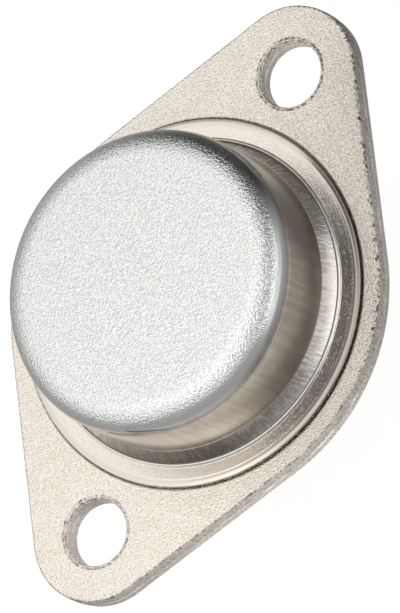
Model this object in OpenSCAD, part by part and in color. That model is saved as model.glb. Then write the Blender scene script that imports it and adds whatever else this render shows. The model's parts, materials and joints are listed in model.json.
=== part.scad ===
// Metal-can power transistor in a two-lead diamond outline: a stamped base plate with two mounting
// holes, a drawn can welded on top, two leads held in glass, and the chip with its wires inside.
// Millimetres. The origin is the centre of the seating face, under the plate. +X runs along the line
// of the mounting holes, +Z rises through the middle of the can, and the leads hang down along -Z.

/* [Base plate] */
// Distance between the centres of the two mounting holes
hole_spacing = 30.15; // [29.9:0.05:30.4]
// Diameter of each mounting hole
hole_d = 4.1; // [3.84:0.02:4.2]
// Radius of the rounded end round each mounting hole
tip_r = 4.35; // [4.0:0.05:4.75]
// Width of the plate's land round the outside of the can's flange
land_w = 1.2; // [0.95:0.05:1.85]
// Thickness of the plate
plate_t = 1.5; // [1.4:0.05:1.7]
// Width of the 45 degree break along the plate's top and bottom edges
edge_break = 0.15; // [0.05:0.05:0.25]
// Width of the rolled lead-in at the top of each mounting hole
hole_lead_in = 0.12; // [0.05:0.01:0.2]
// Width of the fine relief groove coined round the can's flange
groove_w = 0.12; // [0.08:0.02:0.2]
// Depth of that groove
groove_depth = 0.12; // [0.06:0.02:0.2]

/* [Can] */
// Outside diameter of the can's straight wall
can_d = 18.9; // [18.5:0.1:19.1]
// Height of the can above the plate
can_h = 7.2; // [6.8:0.1:7.2]
// Thickness of the drawn sheet
can_wall = 0.6; // [0.5:0.05:0.7]
// Outside radius of the shoulder between the wall and the top
shoulder_r = 1.9; // [1.5:0.1:2.2]
// Radius of the hollow curve where the wall turns out into the flare at its foot
foot_r = 0.3; // [0.2:0.05:0.4]
// Angle between that flare and the wall
flare_angle = 34; // [30:1:40]
// Reach of the foot, from the face of the wall out to the ledge
foot_reach = 0.55; // [0.5:0.05:0.65]
// Radius of the bend inside the foot, where the sheet turns outwards
inner_bend_r = 1.0; // [0.8:0.05:1.2]
// Width of the flat ledge left at the foot, inside the welding electrode's mark
ledge_w = 0.13; // [0.08:0.01:0.15]
// Depth of the step that the electrode pressed into the flange
step_h = 0.12; // [0.08:0.02:0.16]
// Width of the welded flange, from the face of the wall to its rim
flange_w = 2.0; // [1.9:0.05:2.1]
// Thickness of the pressed flange
flange_t = 0.22; // [0.18:0.02:0.3]
// Radius on the flange's upper rim
flange_edge_r = 0.08; // [0.04:0.02:0.1]
// Gap left under the flange's rim, the height of the weld ring
weld_gap = 0.08; // [0.05:0.01:0.12]
// Width of the weld ring under the flange
weld_w = 0.5; // [0.3:0.1:0.6]
// Distance from the flange's rim in to the weld ring
weld_inset = 0.7; // [0.4:0.1:0.8]

/* [Leads and seals] */
// Distance from the line of the leads to the farther mounting hole
lead_line = 16.89; // [16.7:0.01:17.1]
// Distance between the two leads
lead_spacing = 10.92; // [10.7:0.01:11.1]
// Diameter of the bare lead
lead_d = 1.0; // [0.97:0.01:1.05]
// Thickness of the tinned coat on the stretch below the plate
tin_t = 0.01; // [0.01:0.005:0.02]
// Length of each lead below the seating face
lead_below = 10.2; // [8:0.1:12.1]
// Width of the break at the lead's free end
lead_tip_break = 0.2; // [0.1:0.05:0.3]
// Diameter of the flattened head inside the can
head_d = 1.9; // [1.7:0.1:2.2]
// Thickness of that head
head_t = 0.3; // [0.2:0.05:0.4]
// Diameter of each glass seal
seal_d = 3.1; // [2.8:0.1:3.3]
// Depth of the hollow in each end face of the glass
meniscus = 0.12; // [0.05:0.01:0.2]

/* [Chip stack] */
// Length of the copper heat spreader along X
spreader_l = 11.0; // [9:0.5:12]
// Width of the heat spreader along Y
spreader_w = 6.8; // [6:0.2:7]
// Thickness of the heat spreader
spreader_t = 1.3; // [1:0.1:1.5]
// Radius of the heat spreader's corners
spreader_corner_r = 1.5; // [0.5:0.1:2]
// Distance of the chip stack's centre from the can's axis, away from the leads
stack_x = 0.9; // [0.5:0.1:1.2]
// Thickness of the brazed joint under the heat spreader
braze_t = 0.08; // [0.05:0.01:0.12]
// Side of the square silicon die
die_w = 4.2; // [3.8:0.1:4.8]
// Thickness of the die
die_t = 0.28; // [0.25:0.01:0.35]
// Thickness of the solder under the die
solder_t = 0.05; // [0.03:0.01:0.08]
// How far the solder runs out past each side of the die
solder_margin = 0.15; // [0.05:0.05:0.3]

/* [Bond wires] */
// Diameter of the two emitter wires
emitter_wire_d = 0.38; // [0.3:0.02:0.4]
// Diameter of the base wire
base_wire_d = 0.25; // [0.2:0.01:0.3]
// Height of each wire's loop above its bonds
loop_rise = 1.5; // [1:0.1:2]
// Distance between the two emitter wires on the lead's head
head_pitch = 0.84; // [0.8:0.02:0.86]
// Distance between the two emitter wires on the die
die_pitch = 1.6; // [1.2:0.1:2]
// Distance of the bonds on the die from the die's centre line
bond_y = 1.3; // [1:0.1:1.5]

/* [Hidden] */
$fn = 128;
cut = 0.5;                                      // how far a cutting body runs past what it cuts
lap = 0.3;                                      // how far an edge cut runs on past what it cuts
sink = 0.001;                                   // how far the flanks lie inside their tangents
arc_steps = 12;                                 // straight stretches in a drawn quarter circle
bond_foot = [2.4, 1.3, 0.66];                   // length, width and height of a bond, in wire diameters
can_r = can_d / 2;
flange_r = can_r + flange_w;
weld_r = flange_r - weld_inset;                 // outer radius of the weld ring
middle_r = flange_r + land_w;                   // the plate's rounded middle, half its width
hole_x = hole_spacing / 2;
lead_x = hole_x - lead_line;                    // the lead line lies on the -X side of the centre
lead_y = lead_spacing / 2;
flank = acos((middle_r - tip_r) / hole_x);      // bearing of the points where the flanks touch the arcs
flange_top = plate_t + weld_gap + flange_t;
ledge_z = flange_top + step_h;
flare_drop = (foot_reach - foot_r * (1 - cos(flare_angle))) / tan(flare_angle);
foot_top = ledge_z + flare_drop + foot_r * sin(flare_angle);
spreader_z = plate_t + braze_t;
solder_z = spreader_z + spreader_t;
die_z = solder_z + solder_t;
bond_z = die_z + die_t;                         // the lead heads are level with the top of the die
emitter_head = [lead_x, -lead_y];
base_head = [lead_x, lead_y];

// Points along an arc about [x, z], from bearing a0 to bearing a1.
function arc(x, z, r, a0, a1) =
    [for (i = [0:arc_steps]) let (a = a0 + (a1 - a0) * i / arc_steps) [x + r * cos(a), z + r * sin(a)]];

// Outline of a rectangle with round corners, centred on the origin.
function rounded_box(l, w, r) = concat(
    arc(l / 2 - r, w / 2 - r, r, 0, 90), arc(r - l / 2, w / 2 - r, r, 90, 180),
    arc(r - l / 2, r - w / 2, r, 180, 270), arc(l / 2 - r, r - w / 2, r, 270, 360));

// Diamond outline: the round middle and the two round ends, joined by four straight flanks.
module diamond() {
    mid = (middle_r - sink) * [cos(flank), sin(flank)];
    end = [hole_x, 0] + (tip_r - sink) * [cos(flank), sin(flank)];
    circle(middle_r);
    for (side = [-1, 1])
        translate([side * hole_x, 0]) circle(tip_r);
    polygon([end, mid, [-mid.x, mid.y], [-end.x, end.y], -end, -mid, [mid.x, -mid.y], [end.x, -end.y]]);
}

// What breaks the top edge of the blank: a ring sector on each arc, and on each flank a bar that
// runs a little past both ends of it, where it is already clear of the arcs.
module edge_cutter() {
    corner = [[-edge_break - lap, lap], [lap, -edge_break - lap], [cut, cut]];
    module sector(r, from, sweep) {
        rotate([0, 0, from]) rotate_extrude(angle = sweep) translate([r, 0]) polygon(corner);
    }
    run = hole_x * sin(flank);
    for (turn = [0, 180])
        rotate([0, 0, turn]) {
            sector(middle_r, flank, 180 - 2 * flank);
            translate([hole_x, 0, 0]) sector(tip_r, -flank, 2 * flank);
        }
    for (side = [-1, 1], lean = [-1, 1])
        mirror([side > 0 ? 0 : 1, 0, 0]) mirror([0, lean > 0 ? 0 : 1, 0]) rotate([0, 0, flank])
            translate([middle_r - sink, lap, 0]) rotate([90, 0, 0])
                linear_extrude(run + 2 * lap) polygon(corner);
}

// The stamped blank, with its top and bottom edges broken.
module blank() {
    difference() {
        linear_extrude(plate_t) diamond();
        translate([0, 0, plate_t]) edge_cutter();
        mirror([0, 0, 1]) edge_cutter();
    }
}

module header_plate() {
    color("gainsboro") difference() {
        blank();
        for (side = [-1, 1])
            translate([side * hole_x, 0, 0]) {
                translate([0, 0, -cut]) cylinder(d = hole_d, h = plate_t + 2 * cut);
                translate([0, 0, plate_t - hole_lead_in])
                    cylinder(d1 = hole_d, d2 = hole_d + 2 * hole_lead_in + 2 * cut, h = hole_lead_in + cut);
            }
        for (head = [emitter_head, base_head])
            translate([head.x, head.y, -cut]) cylinder(d = seal_d, h = plate_t + 2 * cut);
        translate([0, 0, plate_t - groove_depth]) difference() {
            cylinder(r = flange_r + groove_w, h = groove_depth + cut);
            translate([0, 0, -cut]) cylinder(r = flange_r, h = groove_depth + 3 * cut);
        }
    }
}

// One piece of drawn sheet: flat top, shoulder, wall, foot and pressed flange with its weld ring.
module can() {
    top = plate_t + can_h;
    under = plate_t + weld_gap;
    inner_r = can_r - can_wall;
    color("silver") rotate_extrude() polygon(concat(
        [[0, top]],
        arc(can_r - shoulder_r, top - shoulder_r, shoulder_r, 90, 0),
        arc(can_r + foot_r, foot_top, foot_r, 180, 180 + flare_angle),
        [[can_r + foot_reach, ledge_z], [can_r + foot_reach + ledge_w, ledge_z],
         [can_r + foot_reach + ledge_w, flange_top]],
        arc(flange_r - flange_edge_r, flange_top - flange_edge_r, flange_edge_r, 90, 0),
        [[flange_r, under], [weld_r, under], [weld_r, plate_t],
         [weld_r - weld_w, plate_t], [weld_r - weld_w, under]],
        arc(inner_r + inner_bend_r, under + inner_bend_r, inner_bend_r, 270, 180),
        arc(can_r - shoulder_r, top - shoulder_r, shoulder_r - can_wall, 0, 90),
        [[0, top - can_wall]]));
}

// Nickel-iron lead: tinned below the plate, bare through the glass, flattened head level with the die.
module lead(head) {
    bare_r = lead_d / 2;
    tin_r = bare_r + tin_t;
    translate([head.x, head.y, 0]) {
        translate([0, 0, lead_tip_break - lead_below]) cylinder(r = tin_r, h = lead_below - lead_tip_break);
        translate([0, 0, -lead_below]) cylinder(r1 = tin_r - lead_tip_break, r2 = tin_r, h = lead_tip_break);
        cylinder(r = bare_r, h = bond_z - head_t / 2);
        translate([0, 0, bond_z - head_t]) cylinder(d = head_d, h = head_t);
    }
}

module emitter_lead() {
    color("lightgray") lead(emitter_head);
}

module base_lead() {
    color("lightgray") lead(base_head);
}

// Glass bead fused between the lead and the wall of its hole, hollow on both faces.
module seal(head) {
    inner = lead_d / 2;
    outer = seal_d / 2;
    function dish(z, depth) = [for (i = [0:arc_steps]) let (u = i / arc_steps)
        [inner + (outer - inner) * u, z - 4 * depth * u * (1 - u)]];
    function reversed(p) = [for (i = [len(p) - 1:-1:0]) p[i]];
    translate([head.x, head.y, 0]) rotate_extrude()
        polygon(concat(dish(0, -meniscus), reversed(dish(plate_t, meniscus))));
}

module emitter_seal() {
    color("darkslategray") seal(emitter_head);
}

module base_seal() {
    color("darkslategray") seal(base_head);
}

module heat_spreader() {
    color("peru") translate([stack_x, 0, spreader_z])
        linear_extrude(spreader_t) polygon(rounded_box(spreader_l, spreader_w, spreader_corner_r));
}

module spreader_braze() {
    color("goldenrod") translate([stack_x, 0, plate_t])
        linear_extrude(braze_t) polygon(rounded_box(spreader_l, spreader_w, spreader_corner_r));
}

module die_solder() {
    color("darkgray") translate([stack_x, 0, solder_z + solder_t / 2])
        cube([die_w + 2 * solder_margin, die_w + 2 * solder_margin, solder_t], center = true);
}

module die() {
    color("slategray") translate([stack_x, 0, die_z + die_t / 2]) cube([die_w, die_w, die_t], center = true);
}

// Aluminium wire from one bond to another at the same height: an arc that ends in two flattened feet.
module bond_wire(from, to, d) {
    run = to - from;
    foot = d * bond_foot;
    half = norm(run) / 2;
    loop_r = (half * half + loop_rise * loop_rise) / (2 * loop_rise);
    start = acos(half / loop_r);
    color("whitesmoke") translate([from.x, from.y, bond_z]) rotate([0, 0, atan2(run.y, run.x)]) {
        for (x = [0, 2 * half])
            translate([x - foot.x / 2, -foot.y / 2, 0]) cube(foot);
        translate([half, 0, foot.z / 2 + loop_rise - loop_r]) rotate([90, 0, 0]) rotate([0, 0, start])
            rotate_extrude(angle = 180 - 2 * start) translate([loop_r, 0]) circle(d = d, $fn = 24);
    }
}

module emitter_wire_1() {
    bond_wire(emitter_head - [head_pitch / 2, 0], [stack_x - die_pitch / 2, -bond_y], emitter_wire_d);
}

module emitter_wire_2() {
    bond_wire(emitter_head + [head_pitch / 2, 0], [stack_x + die_pitch / 2, -bond_y], emitter_wire_d);
}

module base_wire() {
    bond_wire(base_head, [stack_x - die_pitch / 2, bond_y], base_wire_d);
}

header_plate();
can();
emitter_lead();
base_lead();
emitter_seal();
base_seal();
heat_spreader();
spreader_braze();
die_solder();
die();
emitter_wire_1();
emitter_wire_2();
base_wire();
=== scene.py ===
# %% [markdown]
# # The looks of a metal-can power transistor
#
# The real part is a diamond-shaped steel plate, stamped and nickel-plated, with a drawn steel can
# welded on top. Two leads come out of the underside through beads of dark glass. This file takes the
# exact solids of that part as a fixed frame and gives each of them its finish: new, finer surfaces
# where the eye looks closely, and a worked-out metal, glass or silicon material on everything. Round
# them it builds a small studio, because bare metal looks like whatever it mirrors.

# %% Load the exact solids
import json
import math

import bmesh
import bpy
import numpy as np
from mathutils import Matrix, Vector
from mathutils.geometry import tessellate_polygon


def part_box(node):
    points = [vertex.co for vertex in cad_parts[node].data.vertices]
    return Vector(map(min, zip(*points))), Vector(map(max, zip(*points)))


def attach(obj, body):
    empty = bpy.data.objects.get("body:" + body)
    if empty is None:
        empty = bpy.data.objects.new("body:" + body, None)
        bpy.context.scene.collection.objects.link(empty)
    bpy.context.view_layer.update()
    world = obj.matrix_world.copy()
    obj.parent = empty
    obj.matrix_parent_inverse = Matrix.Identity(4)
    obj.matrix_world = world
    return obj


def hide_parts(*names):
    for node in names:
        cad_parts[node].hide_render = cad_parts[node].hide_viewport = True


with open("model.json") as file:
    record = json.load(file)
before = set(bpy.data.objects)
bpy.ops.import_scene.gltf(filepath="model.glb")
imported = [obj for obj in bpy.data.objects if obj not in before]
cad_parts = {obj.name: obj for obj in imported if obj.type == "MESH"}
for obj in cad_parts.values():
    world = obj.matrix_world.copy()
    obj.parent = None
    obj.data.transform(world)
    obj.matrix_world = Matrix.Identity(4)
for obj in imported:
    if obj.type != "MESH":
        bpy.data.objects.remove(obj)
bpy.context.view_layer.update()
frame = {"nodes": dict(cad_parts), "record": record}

MM = 0.001
TURN = 2 * math.pi
SEAM = 2e-7  # points closer than this, in metres, are one point of a seam
CREASE = math.radians(38)  # edges sharper than this stay sharp in the shading

# %% [markdown]
# ## Sizes
#
# What the boxes and mounts of the solids tell is read from them, so the new surfaces land on the old
# ones. The rest, such as the roll of a sheared edge, is named beside its piece. Lengths are in
# millimetres until a mesh is made.

# %% Sizes read from the solids
def box_mm(node):
    """Lowest and highest corner of a solid, in millimetres."""
    low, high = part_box(node)
    return np.array(low) / MM, np.array(high) / MM


holes = {m["name"]: m for m in frame["record"]["mounts"]}["mounting_holes"]["dims"]
plate_high = box_mm("header_plate")[1]
can_high = box_mm("can")[1]
lead_low, lead_high = box_mm("emitter_lead")

plate_t = plate_high[2]
middle_r = plate_high[1]
hole_x = holes["spacing_x_mm"] / 2
hole_r = holes["hole_r_mm"]
tip_r = plate_high[0] - hole_x
flange_r = can_high[0]
can_top = can_high[2]
lead_tip_z = lead_low[2]
lead_head_z = lead_high[2]
lead_at = (lead_low[:2] + lead_high[:2]) / 2
seal_r = np.ptp(box_mm("emitter_seal"), 0)[0] / 2

# %% [markdown]
# ## Surfaces from formulas
#
# A surface is a grid of points: one parameter runs along a profile and the other along the path that
# the profile is carried on. The whole grid is worked out at once with numpy. Flat faces with holes in
# them are filled between the last rings of the surfaces round them, so every seam shares its points
# and closes when the doubles are merged.

# %% From point grids to a closed mesh
def grid(points, closed=True):
    """A surface from a grid of points [row, column]: each cell is one quad, and the last column joins
    the first when it is closed."""
    rows, columns = points.shape[:2]
    row = np.arange(rows - 1)[:, None] * columns
    here = np.arange(columns if closed else columns - 1)
    there = (here + 1) % columns
    quads = np.stack([row + here, row + there, row + there + columns, row + here + columns], -1)
    return points.reshape(-1, 3), quads.reshape(-1, 4)


def flat_face(*loops):
    """A flat face bounded by its first loop of points, with the other loops as holes in it."""
    triangles = tessellate_polygon([[Vector(p) for p in loop] for loop in loops])
    return np.concatenate(loops), np.array(triangles)


def piece(name, surfaces, stands_for):
    """One closed mesh from several surfaces in millimetres: joins them, merges the shared seams, turns
    the faces outward, and keeps edges sharper than the crease angle sharp."""
    starts = np.cumsum([0] + [len(points) for points, _ in surfaces])
    points = np.concatenate([points for points, _ in surfaces]) * MM
    faces = [face for start, (_, cells) in zip(starts, surfaces) for face in (cells + start).tolist()]
    mesh = bpy.data.meshes.new(name)
    mesh.from_pydata(points.tolist(), [], faces)
    work = bmesh.new()
    work.from_mesh(mesh)
    bmesh.ops.remove_doubles(work, verts=work.verts, dist=SEAM)
    bmesh.ops.recalc_face_normals(work, faces=work.faces)
    open_edges = sum(1 for edge in work.edges if len(edge.link_faces) != 2)
    work.to_mesh(mesh)
    work.free()
    mesh.shade_smooth()
    mesh.set_sharp_from_angle(angle=CREASE)
    made = bpy.data.objects.new(name, mesh)
    bpy.context.scene.collection.objects.link(made)
    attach(made, "root")
    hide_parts(*stands_for)
    print(name, len(mesh.polygons), "faces,", open_edges, "open edges")
    return made


# %% Round surfaces and small irregularities
def all_round(count):
    """Bearings of count places evenly round a full turn."""
    return np.linspace(0, TURN, count, endpoint=False)


def lathe(profile, columns, centre=(0.0, 0.0), shake=None):
    """Surface of revolution: the point (radius, height) of the profile goes to
    (radius cos a, radius sin a, height) round the centre, for a over a full turn. shake, where given,
    is added to the radius: one row for each point of the profile, one column for each bearing."""
    bearing = all_round(columns)
    radius = profile[:, :1] + (0 if shake is None else shake)
    height = np.broadcast_to(profile[:, 1:], (len(profile), columns))
    radius = np.broadcast_to(radius, height.shape)
    x, y = radius * np.cos(bearing), radius * np.sin(bearing)
    return grid(np.stack([x + centre[0], y + centre[1], height], -1))


def arc(x, z, radius, start, end, steps):
    """Points (x + radius cos a, z + radius sin a) for a from start to end, in degrees."""
    a = np.radians(np.linspace(start, end, steps))
    return np.stack([x + radius * np.cos(a), z + radius * np.sin(a)], -1)


def rise(value, middle, soft):
    """Smooth step: 0 below middle - soft / 2, 1 above middle + soft / 2, and 3 t^2 - 2 t^3 between."""
    t = np.clip((value - middle) / soft + 0.5, 0, 1)
    return t * t * (3 - 2 * t)


def unevenness(count, seed, slowest, fastest, waves=40):
    """A smooth closed ripple between about -1 and 1 at count places round a loop: a sum of sines with
    whole numbers of waves, from slowest to fastest, each with its own seeded phase."""
    rng = np.random.default_rng(seed)
    number = rng.integers(slowest, fastest, waves)
    phase = rng.uniform(0, TURN, waves)
    ripple = np.sin(np.outer(number, all_round(count)) + phase[:, None]).sum(0)
    return ripple / np.abs(ripple).max()


# %% [markdown]
# ## The base plate
#
# A press punches the plate out of strip. From the top down that leaves a rolled edge, a sheared band, a
# burnished step that stands out a little and a torn band that falls back under it, and much the same
# inside each hole. The punch was worn on one side, so one flank is nicked most. A bevel modifier would
# give one even edge all round. Here the edge is a profile of its own, carried round the diamond, with
# ripple and nicks added to its rows.

# %% The diamond outline
flank = math.acos((middle_r - tip_r) / hole_x)  # bearing at which flank and arcs touch
tip_steps, flank_steps, middle_steps = 110, 200, 130


def diamond():
    """Points round the diamond and their outward bearings. One quarter is the end's arc, the straight
    flank and the middle's arc; mirrored in both axes it gives the whole loop, anticlockwise."""
    tip = np.linspace(0, flank, tip_steps)
    middle = np.linspace(flank, math.pi / 2, middle_steps)
    along = np.linspace(0, 1, flank_steps)[1:-1, None]
    tip_points = np.stack([hole_x + tip_r * np.cos(tip), tip_r * np.sin(tip)], -1)
    middle_points = middle_r * np.stack([np.cos(middle), np.sin(middle)], -1)
    flank_points = tip_points[-1] + along * (middle_points[0] - tip_points[-1])
    quarter = np.concatenate([tip_points, flank_points, middle_points])
    bearing = np.concatenate([tip, np.full(len(flank_points), flank), middle])
    points = np.concatenate([
        quarter[:-1], (quarter * [-1, 1])[:0:-1], (quarter * [-1, -1])[:-1], (quarter * [1, -1])[:0:-1]])
    bearings = np.concatenate([
        bearing[:-1], math.pi - bearing[:0:-1], math.pi + bearing[:-1], -bearing[:0:-1]])
    return points, bearings


rim_points, rim_bearings = diamond()
rim_normals = np.stack([np.cos(rim_bearings), np.sin(rim_bearings)], -1)


def round_the_diamond(profile, shake):
    """The profile's points (inset, height) carried round the outline: a point moves inwards along the
    outline's normal by its inset, plus the shake of its row and column."""
    inset = np.maximum(profile[:, :1] + shake, 0.0)
    flat = rim_points - inset[..., None] * rim_normals
    height = np.broadcast_to(profile[:, 1:, None], (*inset.shape, 1))
    return np.concatenate([flat, height], -1)


# %% The punched edge, from the top down
land = 0.07  # flat strip kept beside each rounding, so that the shading of the flat face stays flat
edge_roll = 0.10  # radius of the rolled top edge
roll_in = edge_roll + 0.03  # the roll starts this far inside the outline
sheared_in = 0.018  # the sheared band lies this far inside the step
step_top, step_bottom = 0.82, 0.62  # the burnished step, which is the outline itself
torn_in, torn_top, torn_bottom = 0.035, 0.56, 0.3
bottom_r = 0.11  # rounding of the bottom edge
edge_profile = np.concatenate([
    [[roll_in + land, plate_t]],
    arc(roll_in, plate_t - edge_roll, edge_roll, 90, 172, 9),
    [[sheared_in + 0.002, plate_t - edge_roll - 0.03], [sheared_in, plate_t - edge_roll - 0.05],
     [sheared_in, step_top + 0.05], [0.0, step_top],
     [0.0, step_bottom], [0.02, torn_top], [torn_in, torn_bottom]],
    arc(torn_in + bottom_r, bottom_r, bottom_r, 180, 270, 6),
    [[torn_in + bottom_r + land, 0.0]]])


# %% Ripple and nicks along the edge
def tears(count, seed, slowest, fastest, gain, floor, deepest):
    """Bites out of an edge: gain times the ripple less the floor, kept between 0 and the deepest."""
    return np.clip(gain * unevenness(count, seed, slowest, fastest) - floor, 0, deepest)


worn_at = -42  # bearing of the flank that is nicked most
rim_columns = len(rim_points)
off_worn = np.arctan2(rim_points[:, 1], rim_points[:, 0]) - math.radians(worn_at)
worn = 0.35 + 0.65 * rise(np.cos(off_worn), 0.74, 0.3)
nicks = worn * tears(rim_columns, 7, 110, 430, 1.9, 0.28, 0.42)

roll_top, roll_middle, roll_bottom = slice(1, 4), slice(4, 7), slice(7, 10)
sheared, step, torn, bottom = slice(10, 12), slice(12, 14), slice(15, 17), slice(17, 20)
edge_shake = np.zeros((len(edge_profile), rim_columns))
edge_shake[roll_top] = 0.02 * unevenness(rim_columns, 3, 60, 380) + 0.30 * nicks
edge_shake[roll_middle] = 0.015 * unevenness(rim_columns, 4, 90, 520) + 0.36 * nicks
edge_shake[roll_bottom] = 0.26 * nicks
edge_shake[sheared] = 0.12 * nicks
edge_shake[step] = 0.018 * (unevenness(rim_columns, 8, 30, 160) > 0.12)
edge_shake[torn] = 0.014 * np.abs(unevenness(rim_columns, 5, 80, 420))
edge_shake[bottom] = 0.012 * np.abs(unevenness(rim_columns, 6, 80, 300))
edge_grid = round_the_diamond(edge_profile, edge_shake)

# %% [markdown]
# The punch drew the rim of each hole in: outside comes a shallow furrow, then a small bead, then the wall.
# It also struck a narrow groove round the place of the can, whose inside is painted with shade so that it
# shows as a dark line.
# Both are turned profiles that replace a ring of the flat face, which a plain boolean would cut
# with hard, even edges.

# %% The lip and wall of a mounting hole
hole_columns = 220
lip_w = 0.28  # from the wall of the hole out to the furrow's far side
furrow_depth = 0.07
bead_at, bead_r = 0.12, 0.07  # the bead between furrow and wall, and its radius
hole_round = 0.08
torn_back = 0.02  # the torn lower part of the wall falls back by this much
hole_profile = np.concatenate([
    [[hole_r + lip_w + land, plate_t],
     [hole_r + lip_w, plate_t - 0.002],
     [hole_r + lip_w - 0.05, plate_t - furrow_depth],
     [hole_r + lip_w - 0.09, plate_t - furrow_depth + 0.01]],
    arc(hole_r + bead_at, plate_t - bead_r + 0.005, bead_r, 60, 170, 6),
    [[hole_r + 0.045, plate_t - 0.12], [hole_r + 0.04, plate_t - 0.17], [hole_r, plate_t - 0.20],
     [hole_r, 0.7], [hole_r + 0.012, 0.62], [hole_r + torn_back, 0.15]],
    arc(hole_r + torn_back + hole_round, hole_round, hole_round, 180, 270, 5),
    [[hole_r + torn_back + hole_round + land, 0.0]]])
hole_nicks = tears(hole_columns, 13, 8, 60, 1.5, 0.3, 0.5)
furrow, bead = slice(1, 4), slice(4, 11)
hole_shake = np.zeros((len(hole_profile), hole_columns))
hole_shake[furrow] = 0.03 * unevenness(hole_columns, 11, 6, 60) + 0.14 * hole_nicks
hole_shake[bead] = 0.015 * unevenness(hole_columns, 12, 5, 50) + 0.10 * hole_nicks

# %% The groove round the can
groove_columns = 512
groove_w, groove_depth = 0.12, 0.12
groove_lip = 0.04  # the outer edge of the groove is worn down over this width
narrowing = 0.075  # how much narrower the groove is on its narrow side
groove_r = flange_r + groove_w
groove_profile = np.array([
    [groove_r + groove_lip + land, plate_t],
    [groove_r + groove_lip, plate_t],
    [groove_r + 0.01, plate_t - 0.02],
    [groove_r - 0.01, plate_t - groove_depth],
    [flange_r, plate_t - groove_depth],
    [flange_r, plate_t],
    [flange_r - land, plate_t]])
narrowed = np.clip(0.9 - 1.2 * np.cos(all_round(groove_columns) - 0.6), 0, 1)
outer_bank = slice(1, 4)
groove_shake = np.zeros((len(groove_profile), groove_columns))
groove_shake[outer_bank] = 0.01 * unevenness(groove_columns, 21, 20, 160) - narrowing * narrowed


def ring(radius, columns, height, centre=(0.0, 0.0)):
    """Points of a circle, at the bearings that lathe uses."""
    return lathe(np.array([[radius, height]]), columns, centre)[0]


# %% Put the plate together
seal_columns = 96
seal_centres = [(lead_at[0], side * lead_at[1]) for side in (1, -1)]  # emitter first, then base
hole_centres = [(side * hole_x, 0.0) for side in (-1, 1)]
plate_surfaces = [
    grid(edge_grid),
    lathe(groove_profile, groove_columns, shake=groove_shake),
    flat_face(edge_grid[0], ring(groove_profile[0, 0], groove_columns, plate_t),
              *[ring(hole_profile[0, 0], hole_columns, plate_t, c) for c in hole_centres]),
    flat_face(ring(groove_profile[-1, 0], groove_columns, plate_t),
              *[ring(seal_r, seal_columns, plate_t, c) for c in seal_centres]),
    flat_face(edge_grid[-1], *[ring(hole_profile[-1, 0], hole_columns, 0.0, c) for c in hole_centres],
              *[ring(seal_r, seal_columns, 0.0, c) for c in seal_centres])]
plate_surfaces += [lathe(hole_profile, hole_columns, c, hole_shake) for c in hole_centres]
seal_wall = np.array([[seal_r, plate_t], [seal_r, 0.0]])
plate_surfaces += [lathe(seal_wall, seal_columns, c) for c in seal_centres]
base_plate = piece("base_plate", plate_surfaces, ["header_plate"])

# %% [markdown]
# ## The can
#
# The can is drawn from one disc of steel, so it is one turned profile: top, shoulder, wall, foot and the
# flange that the welding ring pressed thin. The outside carries the marks of its making: a faint crease
# where the shoulder ends, a foot that leans out before it turns, a root line inside the flange, a hollow
# where the electrode pressed and a slightly ragged rim. A subdivided cylinder would blur all of them. The
# root line's brightness is a painted highlight in the can's material. Each part of the profile is a short
# list of its own, from the middle of the top outwards.

# %% Main sizes of the can
wall_r = 9.45
sheet = 0.6
inner_r = wall_r - sheet
shoulder_r = 1.9
shoulder_z = can_top - shoulder_r
top_hollow = 0.012  # the top dips this much in the middle
ledge_z = 1.92  # top of the ledge at the foot
flange_z = 1.80  # face of the flange outside the electrode's mark
pressed_z = 1.752  # lowest place in that mark
under_z = plate_t + 0.08
weld_out, weld_in = 10.75, 10.25
foot_r, root_r = 10.06, 10.13  # end of the foot, and the root line, which the can's material gives a painted highlight
band_in, band_out = 10.30, 10.93  # the pressed band
inner_bend = 1.0

# %% Top, shoulder and wall
top_radii = np.linspace(0, wall_r - shoulder_r, 14)[:-1]
top_dip = top_hollow * np.cos(top_radii / wall_r * math.pi / 2) ** 2
top_profile = np.stack([top_radii, can_top - top_dip], -1)
shoulder_profile = arc(wall_r - shoulder_r, shoulder_z, shoulder_r, 90, 0, 30)
crease_profile = np.array([[wall_r - 0.002, shoulder_z - 0.05],
                           [wall_r - 0.006, shoulder_z - 0.10],
                           [wall_r - 0.002, shoulder_z - 0.16]])

# %% [markdown]
# The foot is a path: it goes straight down, tilts outwards step by step, runs on at nearly the same slope
# and turns flat at the end. Summing short steps, each with its own tilt, gives that free curve without
# any control points.

# %% Foot
foot_tilt = np.concatenate([np.linspace(0, 24, 6), np.linspace(25.5, 35.5, 13), np.linspace(45, 85, 5)])
foot_step = np.concatenate([np.full(5, 0.045), np.full(13, 0.079), np.full(5, 0.01)])
foot_run = np.radians((foot_tilt[1:] + foot_tilt[:-1]) / 2)
foot_profile = np.stack([np.sin(foot_run), -np.cos(foot_run)], -1) * foot_step[:, None]
foot_profile = np.cumsum(np.concatenate([[[0, 0]], foot_profile]), 0)
foot_profile += [wall_r, ledge_z + 0.004 - foot_profile[-1, 1]]
wall_profile = np.linspace((wall_r, shoulder_z - 0.22), (wall_r, foot_profile[0, 1] + 0.05), 12)

# %% Root line, pressed band, flange and rim
root_profile = np.array([
    [root_r - 0.05, ledge_z - 0.006],
    [root_r, ledge_z],
    [root_r + 0.028, ledge_z - 0.015],
    [root_r + 0.06, ledge_z - 0.058],
    [root_r + 0.083, flange_z],
    [root_r + 0.104, pressed_z + 0.014],
    [root_r + 0.132, pressed_z]])
band_profile = np.linspace((band_in, pressed_z + 0.002), (band_out, flange_z), 12)
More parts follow.
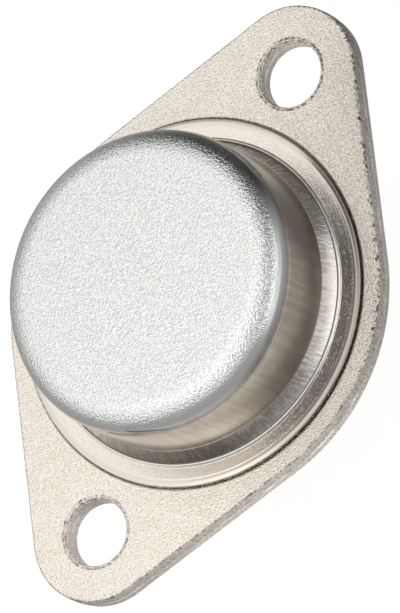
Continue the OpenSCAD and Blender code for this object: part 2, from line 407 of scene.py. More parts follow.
# radius, and height over the flange's face: bank of the mark, faint ring, face, worn slope to the rim
flange_profile = [0, flange_z] + np.array([
    [10.955, 0.002], [10.995, 0.0], [11.02, -0.009], [11.045, -0.010], [11.16, 0.0], [11.19, 0.0],
    [11.24, -0.008], [11.30, -0.023], [11.36, -0.044]])
rim_round = 0.08
rim_z = flange_z - 0.128  # middle of the rounded rim
flange_rim = arc(flange_r - rim_round, rim_z, rim_round, 75, 0, 7)

# %% Underside with its weld ring, and the inside
under_profile = np.array([[flange_r, under_z], [weld_out, under_z], [weld_out, plate_t], [weld_in, plate_t],
                          [weld_in, under_z]])
inside_profile = np.concatenate([
    arc(inner_r + inner_bend, under_z + inner_bend, inner_bend, 270, 180, 8),
    arc(wall_r - shoulder_r, shoulder_z, shoulder_r - sheet, 0, 90, 10),
    [[0.0, can_top - sheet]]])

# %% Turn the can, with a ragged rim and root line
can_profile = np.concatenate([
    top_profile, shoulder_profile, crease_profile, wall_profile, foot_profile, root_profile,
    band_profile, flange_profile, flange_rim, under_profile, inside_profile])
can_columns = 480
profile_r, profile_z = can_profile[:, 0], can_profile[:, 1]
rim_rows = (profile_r > flange_r - 0.1) & (profile_z < flange_z + 0.01)
root_rows = (np.abs(profile_r - root_r - 0.04) < 0.06) & (np.abs(profile_z - ledge_z + 0.075) < 0.085)
can_shake = np.zeros((len(can_profile), can_columns))
can_shake[rim_rows] = -0.016 * np.abs(unevenness(can_columns, 31, 20, 150))
can_shake[root_rows] = 0.008 * unevenness(can_columns, 32, 12, 120)
metal_can = piece("metal_can", [lathe(can_profile, can_columns, shake=can_shake)], ["can"])

# %% [markdown]
# ## Leads and glass seals
#
# Each lead is a nickel-iron wire, tinned where it sticks out, with a flattened head inside the can. The
# glass round it melted and crept up the wire and the wall of the hole, so each face of the bead is
# hollow. A cylinder and a disc would stand for them at a distance, but not close up, so both are turned
# profiles again.

# %% Leads
def lead_profile():
    """Radius and height up one lead: domed tip, tinned stretch with a slight swelling where the tin ran
    together, bare stretch in the glass, flattened head."""
    tinned, bare, head = 0.51, 0.5, 0.95
    head_t, tip_round, head_round = 0.3, 0.2, 0.06
    tip = arc(tinned - tip_round, lead_tip_z + tip_round, tip_round, -90, 0, 7)
    z = np.linspace(lead_tip_z + 0.4, -0.02, 30)
    r = tinned - 0.012 * (0.5 + 0.5 * np.sin(z * 1.9)) * np.exp(-((z + 6) / 4) ** 2)
    top = np.array([[bare, 0.0], [bare, lead_head_z - head_t], [head, lead_head_z - head_t]])
    rim = arc(head - head_round, lead_head_z - head_round, head_round, 0, 90, 5)
    return np.concatenate([[[0.0, lead_tip_z]], tip, np.stack([r, z], -1), top, rim, [[0.0, lead_head_z]]])


lead_pieces = [
    piece(f"{name}_turned", [lathe(lead_profile(), 64, centre)], [name])
    for name, centre in zip(("emitter_lead", "base_lead"), seal_centres)]


# %% Glass beads
def bead_profile():
    """Radius and height round a bead's section: each face is a parabola that dips by the meniscus
    between the wire and the wall."""
    inner, dip = 0.5, 0.12  # radius of the wire, depth of the meniscus
    across = np.linspace(0, 1, 17)
    radius = inner + (seal_r - inner) * across
    hollow_face = 4 * dip * across * (1 - across)
    lower = np.stack([radius, hollow_face], -1)
    upper = np.stack([radius, plate_t - hollow_face], -1)[::-1]
    return np.concatenate([lower, upper, lower[:1]])


bead_pieces = [
    piece(f"{name}_fused", [lathe(bead_profile(), seal_columns, centre)], [name])
    for name, centre in zip(("emitter_seal", "base_seal"), seal_centres)]

# %% [markdown]
# ## Node helpers
#
# Materials are node trees. A few short helpers keep them readable: one adds a node and links or sets its
# inputs, others do arithmetic, noise, masks and relief, and one ends a metal with its shader. Numbers
# that are the same all over a surface are set straight on the shader's own sockets.

# %% Nodes, arithmetic and noise
def node(tree, kind, inputs=None, **settings):
    """Adds a shader node. An input given as a socket is linked; any other value is set."""
    made = tree.nodes.new("ShaderNode" + kind)
    for name, value in settings.items():
        setattr(made, name, value)
    for key, value in (inputs or {}).items():
        if isinstance(value, bpy.types.NodeSocket):
            tree.links.new(value, made.inputs[key])
        else:
            made.inputs[key].default_value = value
    return made


def calc(tree, operation, *values):
    """One arithmetic step on numbers or sockets."""
    return node(tree, "Math", dict(enumerate(values)), operation=operation).outputs[0]


def times(tree, a, b):
    """a times b."""
    return calc(tree, "MULTIPLY", a, b)


def noise(tree, place, scale, detail, roughness=0.5, distortion=0.0):
    """A value that drifts round 0.5, with scale lumps to each unit of place. Detail adds finer octaves,
    each weaker than the last by roughness."""
    return node(tree, "TexNoise", {"Vector": place, "Scale": scale, "Detail": detail,
                                   "Roughness": roughness, "Distortion": distortion}).outputs[0]


def position(tree):
    """The place on the piece, in metres."""
    return node(tree, "TexCoord").outputs["Object"]


# %% Masks
def remap(tree, value, low, high, out_low=0.0, out_high=1.0):
    """Takes value from the range low..high to out_low..out_high, with a soft start and end."""
    return node(tree, "MapRange", {"Value": value, "From Min": low, "From Max": high, "To Min": out_low,
                                   "To Max": out_high}, interpolation_type="SMOOTHSTEP").outputs[0]


def band(tree, value, start, full, fade, end):
    """A soft mask for a range: 0 up to start, 1 from full to fade, and 0 again from end on."""
    return times(tree, remap(tree, value, start, full), remap(tree, value, end, fade))


def one_side(tree, bearing, centre, edge, full, least=0.0):
    """A soft mask for one side of the part, from least to 1: the cosine of the angle from the centre
    bearing, taken from edge to full."""
    off = calc(tree, "COSINE", calc(tree, "SUBTRACT", bearing, math.radians(centre)))
    return remap(tree, off, edge, full, least)


# %% Mixing and relief
def blend(tree, factor, a, b):
    """Mixes two colours by a factor: a at 0, b at 1."""
    return node(tree, "Mix", {0: factor, 6: a, 7: b}, data_type="RGBA").outputs[2]


def layer(tree, colour, mask, strength, other):
    """The colour, going over to the other one by strength where the mask is 1."""
    return blend(tree, times(tree, mask, strength), colour, other)


def bump(tree, height, depth, strength=1.0, over=None):
    """Normals of a relief: the height times a depth in millimetres, over the normals of another."""
    made = node(tree, "Bump", {"Height": height, "Distance": depth * MM, "Strength": strength})
    if over is not None:
        tree.links.new(over, made.inputs["Normal"])
    return made.outputs[0]


# %% Materials
def new_material(name):
    """An empty node material and its tree."""
    made = bpy.data.materials.new(name)
    made.use_nodes = True
    made.node_tree.nodes.clear()
    return made, made.node_tree


def finish_with(tree, shader):
    """Links a shader node to the material's output."""
    tree.links.new(shader.outputs[0], node(tree, "OutputMaterial").inputs["Surface"])


def finish_metal(tree, colour, roughness, normal):
    """Ends a material as bare metal."""
    finish_with(tree, node(tree, "BsdfPrincipled", {"Base Color": colour, "Metallic": 1.0,
                                                    "Roughness": roughness, "Normal": normal}))


def dress(thing, material):
    """Gives a piece its material."""
    thing.data.materials.clear()
    thing.data.materials.append(material)


# %% [markdown]
# ## Effects that several finishes share
#
# Orange peel and the place round the part's axis are needed by more than one material, so each is a
# node group made once. A group gives back only masks, heights and numbers. The metals use them with
# their own sizes.

# %% Node group helper
def new_group(name, inputs, outputs):
    """A shader node group with float or vector sockets: the tree and its own inputs and outputs."""
    tree = bpy.data.node_groups.new(name, "ShaderNodeTree")
    for way, sockets in (("INPUT", inputs), ("OUTPUT", outputs)):
        for label, kind in sockets:
            tree.interface.new_socket(label, in_out=way, socket_type="NodeSocket" + kind)
    return tree, tree.nodes.new("NodeGroupInput").outputs, tree.nodes.new("NodeGroupOutput").inputs


def use_group(tree, group, **inputs):
    """Places a node group; names with spaces are given with underscores."""
    made = tree.nodes.new("ShaderNodeGroup")
    made.node_tree = group
    for key, value in inputs.items():
        socket = made.inputs[key.replace("_", " ")]
        if isinstance(value, bpy.types.NodeSocket):
            tree.links.new(value, socket)
        else:
            socket.default_value = value
    return made.outputs


# %% Orange peel: soft pillows with fine grit on them
peel, peel_in, peel_out = new_group(
    "peel", [("Place", "Vector"), ("Pillow size", "Float"), ("Grit", "Float")],
    [("Height", "Float"), ("Tone", "Float")])
pillow_scale = calc(peel, "DIVIDE", 1 / MM, peel_in["Pillow size"])
pillows = noise(peel, peel_in["Place"], pillow_scale, 2.0, 0.5, 0.3)
grit = noise(peel, peel_in["Place"], times(peel, pillow_scale, 3.1), 2.0, 0.6)
patches = noise(peel, peel_in["Place"], times(peel, pillow_scale, 0.12), 3.0, 0.6)
peel.links.new(calc(peel, "ADD", pillows, times(peel, grit, peel_in["Grit"])), peel_out["Height"])
peel.links.new(patches, peel_out["Tone"])

# %% Place round the axis: radius and height in millimetres, bearing in radians
polar, polar_in, polar_out = new_group(
    "round_the_axis", [("Place", "Vector")],
    [("Radius", "Float"), ("Bearing", "Float"), ("Height", "Float")])
x, y, z = node(polar, "SeparateXYZ", {0: polar_in["Place"]}).outputs
across = calc(polar, "SQRT", calc(polar, "ADD", times(polar, x, x), times(polar, y, y)))
polar.links.new(times(polar, across, 1 / MM), polar_out["Radius"])
polar.links.new(calc(polar, "ARCTAN2", y, x), polar_out["Bearing"])
polar.links.new(times(polar, z, 1 / MM), polar_out["Height"])

# %% [markdown]
# ## Nickel on the plate
#
# The plate is dull warm nickel over rolled strip, and the plating follows the strip's orange peel, drawn
# out along the way it was rolled; the hollows of the peel are painted darker, as shade. The punched side is
# darker and streaked, with a burnished line along its step. The rolled edge carries painted light: bright
# specks that are painted glints, dark specks that are painted shade in the nicks, most of them on the
# nicked flank, and a thin line of painted shade where it meets the flat face. The groove is painted dark
# inside, as shade. One flat metal would lose all of that, so the colour is built up in layers, each with a
# mask that comes from shape or place.

# %% Plate: where things are
plate_metal, tree = new_material("plate_nickel")
rolled_along = -38  # bearing of the strip's rolling direction
place = position(tree)
rolled = node(tree, "Mapping", {"Vector": place, "Rotation": (0, 0, math.radians(rolled_along)),
                                "Scale": (1.8, 1.0, 1.0)}, vector_type="TEXTURE").outputs[0]
peel_here = use_group(tree, peel, Place=rolled, Pillow_size=0.10, Grit=0.35)
radius, bearing, height = use_group(tree, polar, Place=place)
facing_up = node(tree, "SeparateXYZ", {0: node(tree, "NewGeometry").outputs["Normal"]}).outputs[2]
side = remap(tree, calc(tree, "ABSOLUTE", facing_up), 0.55, 0.2)
on_the_roll = band(tree, facing_up, 0.10, 0.30, 0.93, 0.985)
edge_line = band(tree, facing_up, 0.92, 0.95, 0.985, 0.995)
step_band = band(tree, height, 0.50, 0.60, 0.76, 0.86)
in_groove = band(tree, radius, flange_r - 0.02, flange_r, groove_r, groove_r + 0.02)
in_groove = times(tree, in_groove, calc(tree, "LESS_THAN", height, plate_t - 0.004))
in_groove = times(tree, in_groove, calc(tree, "GREATER_THAN", height, plate_t - 2 * groove_depth))

# %% Plate: colours of the flat face and of the punched side
warm_nickel, pale_nickel, pit_shade = (0.96, 0.885, 0.79, 1), (1.0, 0.94, 0.86, 1), (0.56, 0.505, 0.44, 1)
torn_dark, torn_light, burnished = (0.46, 0.42, 0.38, 1), (0.70, 0.64, 0.585, 1), (0.96, 0.93, 0.88, 1)
pits = remap(tree, peel_here["Height"], 0.70, 0.50)
top_colour = blend(tree, remap(tree, peel_here["Tone"], 0.35, 0.65), warm_nickel, pale_nickel)
# Painted shade: the hollows of the orange peel are darkened in the colour.
top_colour = layer(tree, top_colour, pits, 0.58, pit_shade)
stretch = node(tree, "Mapping", {"Vector": place, "Scale": (1.0, 1.0, 0.6)}).outputs[0]
streaks = noise(tree, stretch, 8000.0, 3.0)
side_colour = blend(tree, remap(tree, streaks, 0.36, 0.64), torn_dark, torn_light)
rubs = remap(tree, noise(tree, place, 700.0, 3.0), 0.44, 0.66)
side_colour = layer(tree, side_colour, step_band, rubs, burnished)
colour = blend(tree, side, top_colour, side_colour)

# %% Plate: painted glints and shade on the edge, painted shade in the groove
edge_shade, painted_glint = (0.24, 0.21, 0.18, 1), (1.0, 0.985, 0.95, 1)
nick_shade, groove_shade = (0.20, 0.175, 0.15, 1), (0.25, 0.21, 0.17, 1)
specks = noise(tree, place, 3800.0, 1.0)
worn_side = one_side(tree, bearing, worn_at, 0.5, 0.95, least=0.55)
# Painted shade: a thin dark line where the roll meets the flat face.
colour = layer(tree, colour, edge_line, 0.6, edge_shade)
# Painted glints: bright specks on the roll.
colour = layer(tree, colour, on_the_roll, remap(tree, specks, 0.50, 0.56), painted_glint)
# Painted shade in the nicks: dark specks on the roll, most of them on the nicked flank.
shaded_nicks = times(tree, times(tree, on_the_roll, worn_side), remap(tree, specks, 0.45, 0.39))
colour = blend(tree, shaded_nicks, colour, nick_shade)
# Painted shade inside the groove round the can.
colour = blend(tree, in_groove, colour, groove_shade)

# %% Plate: relief and shader
peel_depth, score_depth = 0.05, 0.012
roughness = remap(tree, peel_here["Tone"], 0.3, 0.7, 0.15, 0.20)
roughness = calc(tree, "ADD", roughness, times(tree, side, 0.06))
relief = bump(tree, peel_here["Height"], peel_depth)
scored = bump(tree, streaks, score_depth, times(tree, side, 0.8), over=relief)
finish_metal(tree, colour, roughness, scored)
dress(base_plate, plate_metal)

# %% [markdown]
# ## Nickel on the can
#
# Top and shoulder are bead-blasted to a silvery satin. The wall below was polished by the drawing die, the
# foot shows short draw marks that run outward, and the flange is rough where the electrode pressed.
# Light and shade are painted into the colour too: painted shade in the low places of the blast grain, on
# one side of the wall, on a stretch of the flange, on the foot on one side and in the corner at the foot's
# end, and painted highlights on the foot on the other side and along the root line. One material holds all
# of them, because they run into each other, and it goes by radius, height and bearing.

# %% Can: where things are
can_metal, tree = new_material("can_nickel")
place = position(tree)
radius, bearing, height = use_group(tree, polar, Place=place)
blasted = remap(tree, height, shoulder_z + 0.95, shoulder_z + 1.45)
shoulder = remap(tree, height, shoulder_z + 0.35, shoulder_z + 0.90)
foot_mask = band(tree, radius, wall_r + 0.002, wall_r + 0.05, foot_r - 0.06, foot_r + 0.04)
# Painted shade in the corner at the end of the foot.
shaded_root = band(tree, radius, foot_r - 0.06, foot_r - 0.02, foot_r, foot_r + 0.05)
# Painted highlight along the root line.
root_highlight = band(tree, radius, root_r - 0.03, root_r, root_r + 0.09, root_r + 0.13)
flange_mask = band(tree, radius, band_in - 0.08, band_in - 0.02, band_out + 0.02, band_out + 0.27)
outer_flange = remap(tree, radius, band_out + 0.02, band_out + 0.12)
# Painted shade on one side of the wall.
shaded_wall = one_side(tree, bearing, -27, 0.77, 0.97)
flange_shade_at = (-82, 0.50, 0.95)  # bearing, edge and full part of the stretch of flange painted with shade
flange_shaded = one_side(tree, bearing, *flange_shade_at)
# Painted shade on the foot, on one side.
shaded_foot = one_side(tree, bearing, -160, 0.80, 0.97)
# Painted highlight on the foot, on one side, strongest towards its outer edge.
lit_foot = one_side(tree, bearing, -72, 0.6, 0.95)
lit_foot = times(tree, lit_foot, remap(tree, radius, wall_r + 0.12, wall_r + 0.5))

# %% [markdown]
# Marks that follow the shape need noise on the can laid out flat. What is scaled down along one way is
# drawn out along it: the foot's marks run outward, the flange's round, and the wall's up and down.

# %% Can: grain and draw marks
def unrolled(along, out, up):
    """Place on the can laid out flat: way round, radius and height, each times its own number."""
    laid = {0: times(tree, bearing, along), 1: times(tree, radius, out), 2: times(tree, height, up)}
    return node(tree, "CombineXYZ", laid).outputs[0]


grain = noise(tree, place, 8600.0, 1.5, 0.55)
coarse = noise(tree, place, 5200.0, 1.0)
blast_height = times(tree, calc(tree, "ADD", grain, times(tree, coarse, 0.5)), blasted)
draw_lines = noise(tree, unrolled(9.5, 0.4, 0.1), 5.0, 3.0, 0.6)
rubbed = noise(tree, unrolled(1.6, 1.0, 1.0), 8.0, 3.0, 0.65)
drawn = noise(tree, unrolled(9.5, 0.0, 0.08), 2.2, 4.0, 0.6)
flange_peel = use_group(tree, peel, Place=place, Pillow_size=0.09, Grit=0.4)

# %% Can: colours of wall, foot, shoulder and top
wall_dark, wall_light, wall_shade = (0.49, 0.445, 0.40, 1), (0.58, 0.53, 0.48, 1), (0.19, 0.175, 0.155, 1)
foot_dark, foot_light = (0.52, 0.48, 0.445, 1), (0.72, 0.67, 0.62, 1)
foot_highlight, foot_shade = (0.98, 0.95, 0.91, 1), (0.11, 0.10, 0.09, 1)
blast_dark, blast_light = (0.72, 0.72, 0.715, 1), (0.975, 0.975, 0.97, 1)
shoulder_grey = (0.74, 0.745, 0.75, 1)
wall_colour = blend(tree, remap(tree, drawn, 0.35, 0.65), wall_dark, wall_light)
# Painted shade on one side of the wall.
wall_colour = layer(tree, wall_colour, shaded_wall, 0.75, wall_shade)
foot_colour = blend(tree, remap(tree, draw_lines, 0.40, 0.60), foot_dark, foot_light)
# Painted highlight on the foot, on one side.
foot_colour = layer(tree, foot_colour, lit_foot, 0.65, foot_highlight)
# Painted shade on the foot, on one side.
foot_colour = layer(tree, foot_colour, shaded_foot, 0.65, foot_shade)
# The blast grain's colour is darker where its relief is low: painted shade in the grain.
blast_colour = blend(tree, remap(tree, grain, 0.36, 0.62), blast_dark, blast_light)
colour = blend(tree, shoulder, wall_colour, shoulder_grey)
colour = blend(tree, blasted, colour, blast_colour)
colour = blend(tree, foot_mask, colour, foot_colour)

# %% Can: colours of the root line and the flange
root_shade, root_bright = (0.16, 0.14, 0.12, 1), (0.95, 0.93, 0.895, 1)
outer_plain, outer_shaded = (0.80, 0.745, 0.675, 1), (0.50, 0.47, 0.43, 1)
band_plain, band_shaded, band_light = (0.78, 0.73, 0.66, 1), (0.23, 0.21, 0.19, 1), (0.94, 0.885, 0.80, 1)
# Painted shade in the corner at the end of the foot.
colour = blend(tree, shaded_root, colour, root_shade)
# Painted highlight along the root line.
colour = blend(tree, root_highlight, colour, root_bright)
# The outer flange is darker on one stretch: painted shade.
colour = blend(tree, outer_flange, colour, blend(tree, flange_shaded, outer_plain, outer_shaded))
flange_tone = calc(tree, "ADD", times(tree, flange_peel["Height"], 0.9), times(tree, rubbed, 0.5))
# The pressed band is darker on that stretch too: painted shade.
flange_tone = calc(tree, "SUBTRACT", flange_tone, times(tree, flange_shaded, 0.24))
band_dark = blend(tree, flange_shaded, band_plain, band_shaded)
band_colour = blend(tree, remap(tree, flange_tone, 0.65, 0.95), band_dark, band_light)
colour = blend(tree, flange_mask, colour, band_colour)

# %% Can: relief and shader
blast_depth, flange_depth, draw_depth = 0.06, 0.03, 0.05
wall_rough = remap(tree, height, shoulder_z + 0.9, shoulder_z + 0.2, 0.13, 0.23)
roughness = node(tree, "Mix", {0: blasted, 2: wall_rough, 3: 0.10}).outputs[0]
roughness = node(tree, "Mix", {0: flange_mask, 2: roughness, 3: 0.15}).outputs[0]
flange_relief = times(tree, flange_mask, one_side(tree, bearing, *flange_shade_at, least=0.35))
blast_bump = bump(tree, blast_height, blast_depth)
flange_bump = bump(tree, flange_peel["Height"], flange_depth, flange_relief, over=blast_bump)
draw_bump = bump(tree, draw_lines, draw_depth, foot_mask, over=flange_bump)
finish_metal(tree, colour, roughness, draw_bump)
dress(metal_can, can_metal)

# %% [markdown]
# ## Leads, glass, and the pieces sealed inside
#
# The leads are tinned, the beads are dark glass, and inside the can there are copper, braze, solder,
# silicon and aluminium. The inner pieces can't be seen in the finished part, but each keeps its exact
# solid and a finish of its own, so that a cut-away or an exploded view looks right. The small metals
# differ only in tone and grain, so one function makes them all.

# %% Small metals
def plain_metal(name, light, dark, roughness, grain_mm, depth_mm, stretch_z=1.0):
    """A metal with a soft change of tone and a fine grain of the given size and depth; the grain can be
    drawn out along Z."""
    made, tree = new_material(name)
    place = node(tree, "Mapping", {"Vector": position(tree), "Scale": (1.0, 1.0, stretch_z)}).outputs[0]
    texture = use_group(tree, peel, Place=place, Pillow_size=grain_mm, Grit=0.5)
    colour = blend(tree, remap(tree, texture["Tone"], 0.3, 0.7), (*dark, 1), (*light, 1))
    rough = remap(tree, texture["Tone"], 0.3, 0.7, roughness + 0.06, roughness - 0.04)
    finish_metal(tree, colour, rough, bump(tree, texture["Height"], depth_mm))
    return made


tinned = plain_metal("tin_dip", (0.83, 0.83, 0.81), (0.72, 0.72, 0.70), 0.24, 0.9, 0.012, 0.3)
copper = plain_metal("bare_copper", (0.90, 0.56, 0.42), (0.78, 0.42, 0.29), 0.3, 0.4, 0.006)
braze = plain_metal("silver_braze", (0.86, 0.80, 0.66), (0.74, 0.66, 0.50), 0.35, 0.3, 0.008)
solder = plain_metal("soft_solder", (0.62, 0.62, 0.63), (0.48, 0.48, 0.50), 0.4, 0.35, 0.01)
aluminium = plain_metal("bond_wire_aluminium", (0.91, 0.91, 0.92), (0.80, 0.80, 0.82), 0.28, 0.2, 0.003)

# %% Seal glass and silicon
seal_glass, tree = new_material("fused_glass")
glass_dark, glass_light = (0.012, 0.022, 0.020, 1), (0.03, 0.05, 0.045, 1)
clouds = use_group(tree, peel, Place=position(tree), Pillow_size=0.5, Grit=0.2)
colour = blend(tree, remap(tree, clouds["Tone"], 0.3, 0.7), glass_dark, glass_light)
finish_with(tree, node(tree, "BsdfPrincipled", {
    "Base Color": colour, "Roughness": 0.12, "IOR": 1.5, "Coat Weight": 0.4,
    "Normal": bump(tree, clouds["Height"], 0.006)}))

die_face, tree = new_material("metallised_silicon")
cells = node(tree, "TexBrick", {
    "Vector": position(tree), "Scale": 1400.0, "Mortar Size": 0.04, "Color1": (0.40, 0.42, 0.47, 1),
    "Color2": (0.34, 0.36, 0.42, 1), "Mortar": (0.62, 0.62, 0.64, 1)})
finish_with(tree, node(tree, "BsdfPrincipled", {
    "Base Color": cells.outputs["Color"], "Metallic": 0.8, "Roughness": 0.22}))

# %% Dress the small pieces and the solids
for thing in lead_pieces:
    dress(thing, tinned)
for thing in bead_pieces:
    dress(thing, seal_glass)
finishes = {
    "header_plate": plate_metal, "can": can_metal, "emitter_lead": tinned, "base_lead": tinned,
    "emitter_seal": seal_glass, "base_seal": seal_glass, "heat_spreader": copper, "spreader_braze": braze,
    "die_solder": solder, "die": die_face, "emitter_wire_1": aluminium, "emitter_wire_2": aluminium,
    "base_wire": aluminium}
for name, material in finishes.items():
    dress(frame["nodes"][name], material)

# %% [markdown]
# ## Floor, light and reflections
#
# Bare metal shows what stands round it. The part hangs in white light over a white floor, and cards
# stand round it, as on the table of a product studio: dark ones to draw the wall and the shoulder, grey
# ones that fade upwards into the light, and bright strips for the highlights. A ready-made environment
# picture would give some reflections, but not these. Each card shines with a level of its own, 0 for
# black and 1 for white, and only reflections see it.

# %% Floor and world
scene = bpy.context.scene


def stage_mesh(name, points, material):
    """A surface that belongs to the studio and not to the part."""
    verts, faces = grid(points, False)
    mesh = bpy.data.meshes.new(name)
    mesh.from_pydata((verts * MM).tolist(), [], faces.tolist())
    mesh.shade_smooth()
    made = bpy.data.objects.new(name, mesh)
    scene.collection.objects.link(made)
    mesh.materials.append(material)
    return made


def seen_directly(tree):
    """1 for rays from the camera, from metal or through glass, and 0 for the rest."""
    path = node(tree, "LightPath").outputs
    return calc(tree, "MAXIMUM", path["Is Camera Ray"],
                calc(tree, "MAXIMUM", path["Is Glossy Ray"], path["Is Transmission Ray"]))


floor_paint, tree = new_material("floor_paint")
floor_white, floor_share = 1.06, 0.84  # how white the floor looks, and how much of its look is that white
paper = noise(tree, position(tree), 60.0, 2.0)
paper_colour = blend(tree, paper, (0.90, 0.90, 0.90, 1), (0.92, 0.92, 0.92, 1))
lit = node(tree, "BsdfDiffuse", {"Color": paper_colour}).outputs[0]
white = node(tree, "Emission", {"Color": (1, 1, 1, 1), "Strength": floor_white}).outputs[0]
share = times(tree, seen_directly(tree), floor_share)
finish_with(tree, node(tree, "MixShader", {0: share, 1: lit, 2: white}))
floor_z = lead_tip_z - 0.02
reach = 3000.0
stage_mesh("floor", np.array([[[-reach, -reach, floor_z], [reach, -reach, floor_z]],
                              [[-reach, reach, floor_z], [reach, reach, floor_z]]]), floor_paint)

world = bpy.data.worlds.new("studio")
scene.world = world
world.use_nodes = True
sky = world.node_tree.nodes["Background"]
sky.inputs["Color"].default_value = (1, 1, 1, 1)
sky.inputs["Strength"].default_value = 1.0

# %% Paint for the cards
card_paint, tree = new_material("card_paint")
warmth = 0.985  # blue of the cards' light, against red and green
level = node(tree, "Attribute", attribute_name="level").outputs["Fac"]
tint = node(tree, "CombineColor", {0: level, 1: level, 2: times(tree, level, warmth)}).outputs[0]
finish_with(tree, node(tree, "Emission", {"Color": tint, "Strength": 1.0}))


def shining(name, x, y, z, levels):
    """A surface that only reflections see, with how brightly each of its points shines."""
    points = np.stack(np.broadcast_arrays(x, y, z, levels)[:3], -1)
    made = stage_mesh(name, points, card_paint)
    made.data.attributes.new("level", "FLOAT", "POINT").data.foreach_set("value", levels.ravel())
    made.visible_camera = False
    made.visible_shadow = False
    made.visible_diffuse = False


# %% [markdown]
# The large cards are soft patches on one tent, a dome on a straight skirt that turns in over the floor. A
# place on it is a bearing and a height in degrees as the part sees it, so each card is placed by where
# the metal mirrors it. Later cards lie over earlier ones.

# %% Levels of the tent and its cards
# bearings from, to and softness; heights from, to and softness, all in degrees; level
soft_cards = {
    "left_panel": (100, 175, 40, 14, 62, 30, 0.96),
    "front_top": (-212, -100, 34, 52, 95, 16, 1.38),
    "right_top": (-100, -20, 34, 52, 95, 16, 1.20),
    "dim_back": (-10, 110, 40, 42, 80, 24, 0.95),
    "front_grey": (-145, -38, 30, 8, 47, 12, 0.43),
    "dark_gap": (-104, -40, 24, 36, 51, 8, 0.05),
    "black_card": (-20, 52, 38, -28, 30, 24, 0.05),
    "floor_glow": (50, 80, 16, -52, -35, 10, 1.0),
    "bright_strip": (-88, -33, 20, 0, 29, 18, 1.35),
    "front_floor": (-118, -80, 24, -33, -8, 16, 0.32),
    "left_low": (-185, -122, 24, -36, -14, 12, 0.62),
    "left_floor": (-170, -92, 30, -70, -32, 12, 1.10)}
side_level, sky_rise, floor_rise = 0.40, 0.64, 0.30  # the tent by itself: grey, lighter above and below
lowest_soft = -50  # a card that starts below this height has a hard lower edge
bearing = np.linspace(-180, 180, 181)[None, :]
height = np.linspace(-62, 90, 90)[:, None]
levels = side_level + sky_rise * rise(height, 33, 50) + floor_rise * rise(-height, 38, 24)
for first, last, soft, low, high, soft_height, shine in soft_cards.values():
    middle, half_width = (first + last) / 2, (last - first) / 2
    away = np.abs((bearing - middle + 180) % 360 - 180)
    cover = (1 - rise(away, half_width, soft)) * rise(height, low, soft_height if low > lowest_soft else 1)
    cover = cover * (1 - rise(height, high, soft_height))
    levels = levels + cover * (shine - levels)

# %% Shape of the tent
tent_r, tent_z = 100.0, 5.0
lowest_z = floor_z + 0.5  # the skirt ends this far above the floor
up, turned = np.radians(height), np.radians(bearing)
slope = np.tan(up)
skirt_r = np.minimum((tent_z - lowest_z) / np.maximum(-slope, 1e-6), tent_r)
skirt_z = np.maximum(lowest_z, tent_z + tent_r * slope)
tent_reach = np.where(height < 0, skirt_r, tent_r * np.cos(up))
tent_lift = np.where(height < 0, skirt_z, tent_z + tent_r * np.sin(up))
shining("tent", tent_reach * np.cos(turned), tent_reach * np.sin(turned), tent_lift, levels)

# %% [markdown]
# Some darks can't stand far away. The wall of the can mirrors the plate and the flange, and they mirror
# what is just over them, so small flags hang close over the plate, as a studio would clip them to a
# stand. Each is part of a ring of card between two bearings.

# %% Flags close over the plate
def flag(name, bearings, radii, levels, flag_z=12.0):
    """A flat ring-shaped card between two bearings and two radii. levels: inner edge at the first and
    second bearing, then outer edge; between them the level changes evenly."""
    along, out = np.linspace(0, 1, 32)[None, :], np.linspace(0, 1, 6)[:, None]
    turned = np.radians(bearings[0] + (bearings[1] - bearings[0]) * along)
    radius = radii[0] + (radii[1] - radii[0]) * out
    inner = levels[0] + (levels[1] - levels[0]) * along
    outer = levels[2] + (levels[3] - levels[2]) * along
    shining(name, radius * np.cos(turned), radius * np.sin(turned), flag_z, inner + (outer - inner) * out)


flag("left_flag", (-136, -96), (12.9, 19.0), (1.05, 0.40, 1.1, 0.75))
flag("grey_flag", (-96, -62), (12.9, 19.0), (0.40, 0.50, 0.75, 0.40))
flag("dark_flag", (-62, -28), (12.9, 20.0), (0.50, 0.12, 0.40, 0.14))
flag("black_flag", (-28, 3), (12.9, 18.5), (0.12, 0.04, 0.14, 0.06))
flag("high_flag", (-100, -18), (26.5, 36.0), (0.42, 0.30, 0.42, 0.30), flag_z=30.0)

# %% [markdown]
# A low frame of card stands a little outside the plate's front. The lowest part of the can's wall and the
# foot mirror it: it is light where they shine and dark on both sides of that.

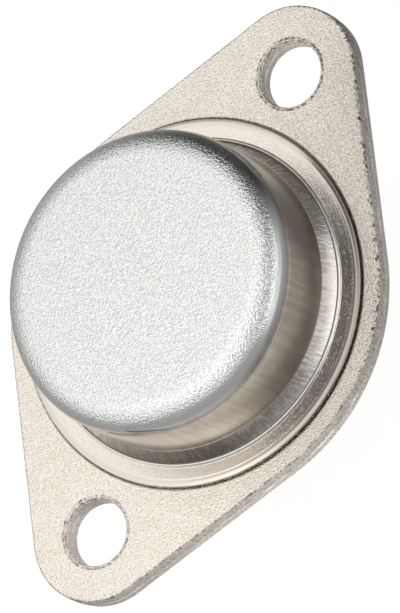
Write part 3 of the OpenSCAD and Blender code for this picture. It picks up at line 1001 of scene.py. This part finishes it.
# %% A low frame round the plate
frame_gap, frame_bottom, frame_low, frame_extra = 1.3, 1.6, 2.35, 1.6
bright_at, bright_half, dark_level, bright_extra, edge_level = -68, 28, 0.10, 1.1, 0.45
frame_xy = rim_points + frame_gap * rim_normals
frame_bearing = np.degrees(np.arctan2(frame_xy[:, 1], frame_xy[:, 0]))
front = (frame_bearing < 30) & (frame_xy[:, 1] < 8)
strip = np.roll(np.arange(len(frame_xy)), -int(np.argmax(~front)))
strip = strip[front[strip]]
frame_top = frame_low + frame_extra * rise(-frame_bearing[strip], 160, 20)
frame_height = frame_bottom + (frame_top - frame_bottom) * np.linspace(0, 1, 6)[:, None]
brightness = 1 - rise(np.abs(frame_bearing[strip] - bright_at), bright_half, 16)
fade = np.array([0.3, 1.0, 1.0, 1.0, 0.7, 0.0])[:, None]  # so that its edges don't show as lines
frame_levels = edge_level + fade * (dark_level + bright_extra * brightness - edge_level)
shining("low_frame", *frame_xy[strip].T, frame_height, frame_levels)

# %% Lamp
def towards(bearing, elevation):
    """Unit vector from the part to a bearing and a height above the horizon, in degrees."""
    b, e = math.radians(bearing), math.radians(elevation)
    return Vector((math.cos(e) * math.cos(b), math.cos(e) * math.sin(b), math.sin(e)))


lamp_distance, lamp_size, lamp_power = 0.40, 0.20, 0.03  # metres, metres, watts
lamp_data = bpy.data.lights.new("key", "AREA")
lamp_data.shape = "SQUARE"
lamp_data.size = lamp_size
lamp_data.energy = lamp_power
lamp = bpy.data.objects.new("key", lamp_data)
lamp.location = towards(150, 50) * lamp_distance
lamp.rotation_euler = (-towards(150, 50)).to_track_quat("-Z", "Y").to_euler()
lamp.visible_camera = False
scene.collection.objects.link(lamp)

# %% [markdown]
# ## Camera
#
# A long lens from far away, above and to one side, and rolled so that the diamond stands up. Its bearing,
# height and roll make the three axes of the camera, and its place follows from its distance.

# %% Camera
camera_bearing, camera_elevation, camera_roll = -92.862, 58.967, -64.622
camera_distance = 454.5
aim = Vector((0.0073, 0.2386, 0.1436))
focal_ratio = 7483.2 / 613  # focal length over the height of the sensor

toward = towards(camera_bearing, camera_elevation)
level_right = Vector((0, 0, 1)).cross(toward).normalized()
level_up = toward.cross(level_right)
roll = math.radians(camera_roll)
right = math.cos(roll) * level_right + math.sin(roll) * level_up
optics = bpy.data.cameras.new("camera")
optics.sensor_fit = "VERTICAL"
optics.sensor_height = 24.0
optics.lens = focal_ratio * optics.sensor_height
optics.clip_start = 0.01
optics.clip_end = 20.0
camera = bpy.data.objects.new("camera", optics)
axes = Matrix((right, toward.cross(right), toward)).transposed().to_4x4()
camera.matrix_world = Matrix.Translation((aim + toward * camera_distance) * MM) @ axes
scene.collection.objects.link(camera)
scene.camera = camera
scene.view_settings.view_transform = "Standard"
